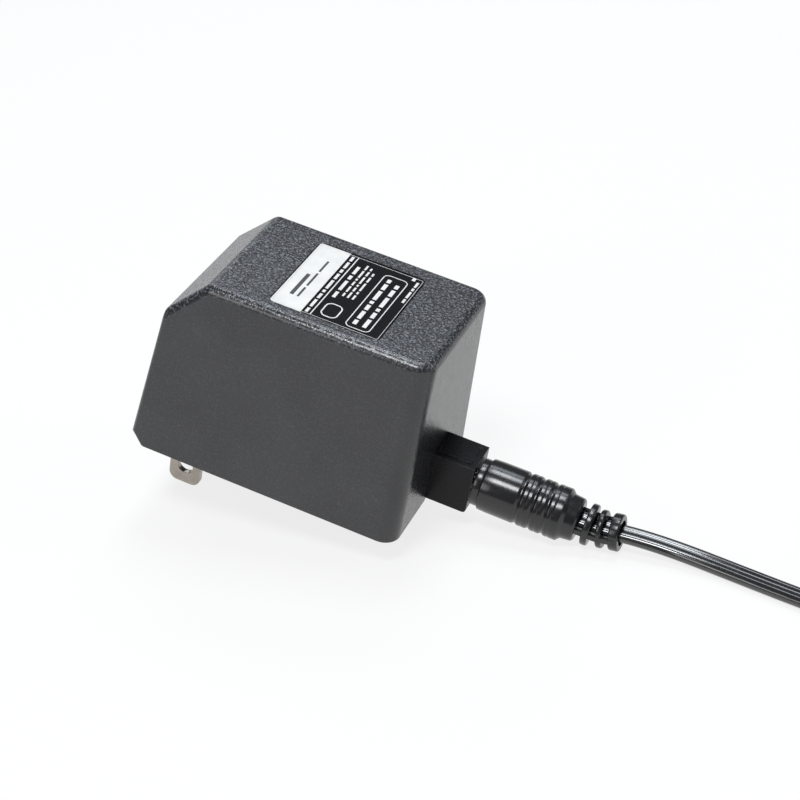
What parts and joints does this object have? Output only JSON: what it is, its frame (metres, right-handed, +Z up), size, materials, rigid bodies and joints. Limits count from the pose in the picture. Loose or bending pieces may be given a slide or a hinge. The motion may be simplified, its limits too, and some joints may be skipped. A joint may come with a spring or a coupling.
{
  "type": "plug-in ac transformer",
  "caption": "Wall plug power supply with two flat blades, drafted housing, label recess, output jack, ribbed moulded plug and flat twin cord.",
  "frame": {"origin": "centre of the bounding box of the supply with its plug (without the cord), on the surface it rests on", "axes": "+X runs from the blade end to the output plug and cord, +Y to the back flank, +Z up; the supply lies tilted on its two blade tips and the last ring of the strain relief"},
  "size_m": [0.22, 0.0713, 0.0623],
  "materials": {
    "housing": "fine-grained moulded, semi-matt",
    "base": "plain moulded",
    "blade_metal": "nickel-plated brass",
    "label": "printed film with plain fields",
    "jack_plastic": "glossy moulded",
    "plug_plastic": "soft glossy moulding",
    "contact_metal": "nickel-plated",
    "cord": "glossy flat twin cord",
    "tie": "coated twist tie",
    "screw_steel": "zinc-plated",
    "board": "laminate board",
    "ferrite": "sintered ferrite",
    "bobbin": "moulded",
    "copper": "enamelled copper turns",
    "tape": "taped copper winding",
    "aluminium": "rolled sheet",
    "epoxy": "moulded case",
    "film_capacitor": "dipped film capacitor",
    "line_capacitor": "boxed film capacitor",
    "resistor": "lacquered",
    "lead": "insulated wire",
    "white_lead": "insulated wire"
  },
  "bodies": {
    "root": {"housing_cover": "housing", "base_plate": "base", "neutral_blade": "blade_metal", "line_blade": "blade_metal", "rating_label": "label", "jack_body": "jack_plastic", "jack_pin": "contact_metal", "jack_sleeve_contact": "contact_metal", "plug_insert": "jack_plastic", "plug_barrel": "contact_metal", "plug_pin_socket": "contact_metal", "plug_overmould": "plug_plastic", "output_cord": "cord", "cord_coil": "cord", "coil_tie": "tie", "socket_body": "plug_plastic", "socket_insert": "jack_plastic", "socket_pin": "contact_metal", "case_screws": "screw_steel", "circuit_board": "board", "core_lower": "ferrite", "core_upper": "ferrite", "bobbin": "bobbin", "primary_winding": "copper", "secondary_winding": "tape", "heat_spreader": "aluminium", "high_side_transistor": "epoxy", "low_side_transistor": "epoxy", "transistor_screws": "screw_steel", "drive_toroid": "ferrite", "drive_winding": "copper", "bridge_rectifier": "epoxy", "input_fuse": "epoxy", "choke_core": "ferrite", "choke_winding": "copper", "line_capacitor": "line_capacitor", "upper_bridge_capacitor": "film_capacitor", "lower_bridge_capacitor": "film_capacitor", "start_resistor": "resistor", "line_lead": "lead", "neutral_lead": "white_lead", "output_pin_lead": "lead", "output_sleeve_lead": "white_lead"}
  },
  "joints": []
}
